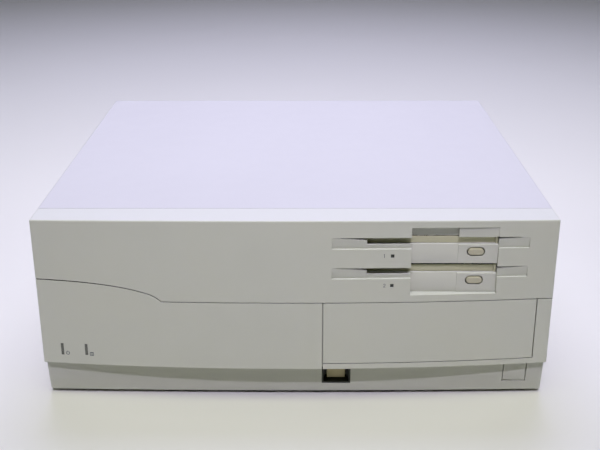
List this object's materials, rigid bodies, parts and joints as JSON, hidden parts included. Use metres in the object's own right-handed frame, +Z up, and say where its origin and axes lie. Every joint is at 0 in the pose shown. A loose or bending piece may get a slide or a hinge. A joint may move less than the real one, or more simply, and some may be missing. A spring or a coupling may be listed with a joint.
{
  "type": "desktop home computer",
  "caption": "Low desktop computer case with a bowed front, slim disk drives with flaps and eject buttons over a blanked bay, a recessed power button and a fitted interior.",
  "frame": {"origin": "middle of the footprint, on the surface the feet stand on", "axes": "+Z up, -Y towards the user at the front, +X to the user's right"},
  "size_m": [0.4012, 0.3352, 0.15],
  "materials": {
    "case_paint": "satin textured paint",
    "front_plastic": "fine moulded grain",
    "fascia_plastic": "fine moulded grain",
    "button_plastic": "smooth, slightly satin",
    "dark_plastic": "moulded satin",
    "foot_rubber": "matte",
    "zinc_steel": "zinc-plated sheet",
    "screw_steel": "bright zinc plate",
    "spindle_steel": "turned",
    "carriage_metal": "die-cast",
    "board_laminate": "solder-resist lacquer",
    "power_board": "brown laminate",
    "power_components": "sleeved components",
    "chip_plastic": "moulded",
    "chip_ceramic": "fired ceramic look",
    "heatsink_metal": "extruded, anodised",
    "battery_sleeve": "shrink sleeve",
    "speaker_steel": "plated steel and paper cone",
    "lamp_plastic": "clear tinted, polished",
    "ribbon_plastic": "ribbed flat cable",
    "wire_plastic": "sleeved bundle"
  },
  "bodies": {
    "root": {"ac_inlet": "dark_plastic", "ac_outlet": "dark_plastic", "base_pan": "zinc_steel", "bay_frame": "front_plastic", "board_chips": "chip_plastic", "bus_board": "board_laminate", "bus_connectors": "dark_plastic", "card_cage": "zinc_steel", "clock_battery": "battery_sleeve", "cpu": "chip_ceramic", "cpu_heatsink": "heatsink_metal", "drive_1_chassis": "zinc_steel", "drive_1_circuit_board": "board_laminate", "drive_1_fascia": "fascia_plastic", "drive_1_lamp": "lamp_plastic", "drive_2_chassis": "zinc_steel", "drive_2_circuit_board": "board_laminate", "drive_2_fascia": "fascia_plastic", "drive_2_lamp": "lamp_plastic", "drive_cable": "ribbon_plastic", "drive_cage": "zinc_steel", "fan_frame": "dark_plastic", "front_bezel": "front_plastic", "indicator_panel": "front_plastic", "lamp_board": "board_laminate", "memory_modules": "board_laminate", "monitor_port": "zinc_steel", "motherboard": "board_laminate", "panel_lamps": "lamp_plastic", "panel_screws": "screw_steel", "plinth": "front_plastic", "power_button_frame": "dark_plastic", "power_harness": "wire_plastic", "power_switch": "dark_plastic", "printer_port": "zinc_steel", "psu_board": "power_board", "psu_case": "zinc_steel", "psu_components": "power_components", "rear_panel": "zinc_steel", "reset_switch": "dark_plastic", "round_ports": "dark_plastic", "rubber_feet": "foot_rubber", "serial_port": "zinc_steel", "slot_covers": "zinc_steel", "speaker": "speaker_steel", "top_cover": "case_paint"},
    "power_button": {"power_button": "button_plastic", "power_push_rod": "button_plastic"},
    "upper_eject": {"drive_1_eject_button": "button_plastic"},
    "lower_eject": {"drive_2_eject_button": "button_plastic"},
    "upper_dust_flap": {"drive_1_flap": "button_plastic"},
    "lower_dust_flap": {"drive_2_flap": "button_plastic"},
    "plinth_flap": {"front_flap": "front_plastic"},
    "reset_button": {"reset_button": "button_plastic"},
    "file_bay_cover": {"bay_cover": "front_plastic"},
    "fan": {"fan_rotor": "dark_plastic"},
    "upper_spindle": {"drive_1_spindle": "spindle_steel"},
    "lower_spindle": {"drive_2_spindle": "spindle_steel"},
    "upper_head_carriage": {"drive_1_head_carriage": "carriage_metal"},
    "lower_head_carriage": {"drive_2_head_carriage": "carriage_metal"}
  },
  "joints": [
    {"name": "power_push", "type": "slide", "parent": "root", "child": "power_button", "axis": [0, 1, 0], "range_m": [0, 0.0035], "stiffness_N_per_m": 600, "springref_m": -0.001},
    {"name": "upper_eject_push", "type": "slide", "parent": "root", "child": "upper_eject", "axis": [0, 1, 0], "range_m": [0, 0.006], "stiffness_N_per_m": 300, "springref_m": -0.001},
    {"name": "upper_dust_flap_hinge", "type": "hinge", "parent": "root", "child": "upper_dust_flap", "pos_m": [0.104, -0.1407, 0.1357], "axis": [1, 0, 0], "range_deg": [0, 80], "stiffness_Nm_per_rad": 0.0002},
    {"name": "upper_spindle_turn", "type": "hinge", "parent": "root", "child": "upper_spindle", "pos_m": [0.104, -0.087, 0.1216], "axis": [0, 0, 1], "continuous": true},
    {"name": "upper_carriage_slide", "type": "slide", "parent": "root", "child": "upper_head_carriage", "axis": [0, 1, 0], "range_m": [-0.003, 0.011]},
    {"name": "lower_eject_push", "type": "slide", "parent": "root", "child": "lower_eject", "axis": [0, 1, 0], "range_m": [0, 0.006], "stiffness_N_per_m": 300, "springref_m": -0.001},
    {"name": "lower_dust_flap_hinge", "type": "hinge", "parent": "root", "child": "lower_dust_flap", "pos_m": [0.104, -0.1437, 0.1127], "axis": [1, 0, 0], "range_deg": [0, 80], "stiffness_Nm_per_rad": 0.0002},
    {"name": "lower_spindle_turn", "type": "hinge", "parent": "root", "child": "lower_spindle", "pos_m": [0.104, -0.09, 0.0986], "axis": [0, 0, 1], "continuous": true},
    {"name": "lower_carriage_slide", "type": "slide", "parent": "root", "child": "lower_head_carriage", "axis": [0, 1, 0], "range_m": [-0.003, 0.011]},
    {"name": "plinth_flap_hinge", "type": "hinge", "parent": "root", "child": "plinth_flap", "pos_m": [0.1769, -0.1534, 0.0134], "axis": [1, 0, 0], "range_deg": [0, 90]},
    {"name": "reset_push", "type": "slide", "parent": "root", "child": "reset_button", "axis": [0, 1, 0], "range_m": [0, 0.0018], "stiffness_N_per_m": 500, "springref_m": -0.0005},
    {"name": "file_bay_cover_pull", "type": "slide", "parent": "root", "child": "file_bay_cover", "axis": [0, -1, 0], "range_m": [0, 0.04]},
    {"name": "fan_turn", "type": "hinge", "parent": "root", "child": "fan", "pos_m": [0.138, 0.1484, 0.092], "axis": [0, 1, 0], "continuous": true}
  ]
}
